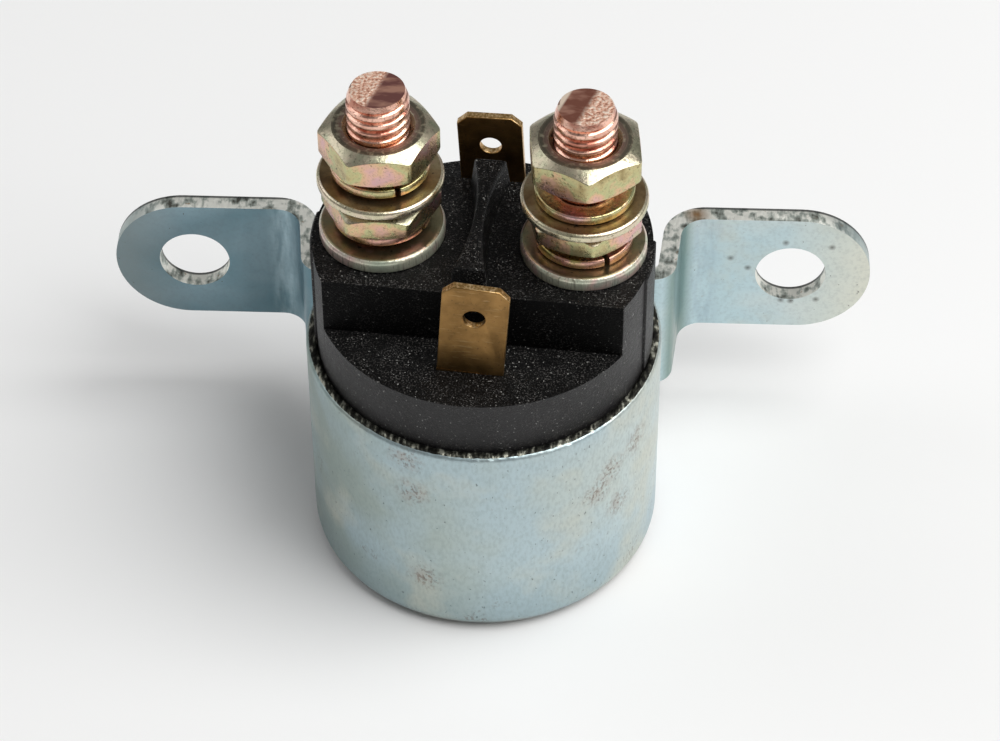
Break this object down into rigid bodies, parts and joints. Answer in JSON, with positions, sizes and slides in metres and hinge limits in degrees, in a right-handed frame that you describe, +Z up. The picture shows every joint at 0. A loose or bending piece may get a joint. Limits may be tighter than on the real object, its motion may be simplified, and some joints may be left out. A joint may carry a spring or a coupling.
{
  "type": "starter solenoid",
  "caption": "Starter solenoid: drawn steel can, black moulded cap, copper studs with nuts and washers, spade blades and a bent strap with drilled ears; the plunger lifts a contact disc.",
  "frame": {"origin": "centre of the can's flat bottom", "axes": "+Z up along the can, from its bottom to the studs; +X along the two ears; +Y towards the strap's mounting face, so the camera side is -Y"},
  "size_m": [0.0774, 0.0364, 0.0545],
  "materials": {
    "can_steel": "clear zinc plate with a faint rainbow, vertical draw marks",
    "strap_steel": "clear zinc plate, slate blue to grey",
    "cap_moulding": "black filled thermoset, speckled",
    "copper": "bright bare copper",
    "blade_brass": "brown-gold brass, fine scratches",
    "yellow_zinc": "yellow zinc plate with pink and green tints",
    "pale_zinc": "pale green-silver zinc plate",
    "rubber": "matt",
    "former_plastic": "natural moulding",
    "enamelled_copper": "enamelled wire",
    "tube_brass": "drawn tube",
    "soft_iron": "turned, plated",
    "spring_steel": "bright wire and strip",
    "insulation": "pressed laminate"
  },
  "bodies": {
    "frame": {"can": "can_steel", "mounting_strap": "strap_steel", "plunger_cushion": "rubber", "guide_tube": "tube_brass", "coil_former": "former_plastic", "coil_winding": "enamelled_copper", "pole_piece": "soft_iron", "flux_plate": "soft_iron", "cap_gasket": "rubber", "terminal_cap": "cap_moulding", "lead_front": "enamelled_copper", "lead_rear": "enamelled_copper", "blade_front": "blade_brass", "blade_rear": "blade_brass", "return_spring": "spring_steel", "stud_left": "copper", "stud_right": "copper", "base_washer_left": "pale_zinc", "base_washer_right": "pale_zinc", "lower_lock_washer_left": "yellow_zinc", "lower_lock_washer_right": "yellow_zinc", "thin_nut_left": "yellow_zinc", "thin_nut_right": "yellow_zinc", "upper_washer_left": "yellow_zinc", "upper_washer_right": "yellow_zinc", "upper_lock_washer_left": "yellow_zinc", "upper_lock_washer_right": "yellow_zinc", "terminal_nut_left": "yellow_zinc", "terminal_nut_right": "yellow_zinc"},
    "plunger": {"plunger": "soft_iron", "push_rod": "spring_steel", "rod_collar": "spring_steel", "rod_clip": "spring_steel", "contact_spring": "spring_steel"},
    "contact": {"contact_disc": "copper", "insulating_bush": "insulation", "top_insulator": "insulation"}
  },
  "joints": [
    {"name": "plunger_slide", "type": "slide", "parent": "frame", "child": "plunger", "axis": [0, 0, 1], "range_m": [0, 0.0022], "stiffness_N_per_m": 4700, "springref_m": -0.001, "deforming": ["return_spring"]},
    {"name": "contact_overtravel", "type": "slide", "parent": "plunger", "child": "contact", "axis": [0, 0, 1], "range_m": [-0.0004, 0], "deforming": ["contact_spring"]}
  ],
  "couplings": [
    {"joint": "contact_overtravel", "follows": "plunger_slide", "ratio": -0.1818}
  ]
}
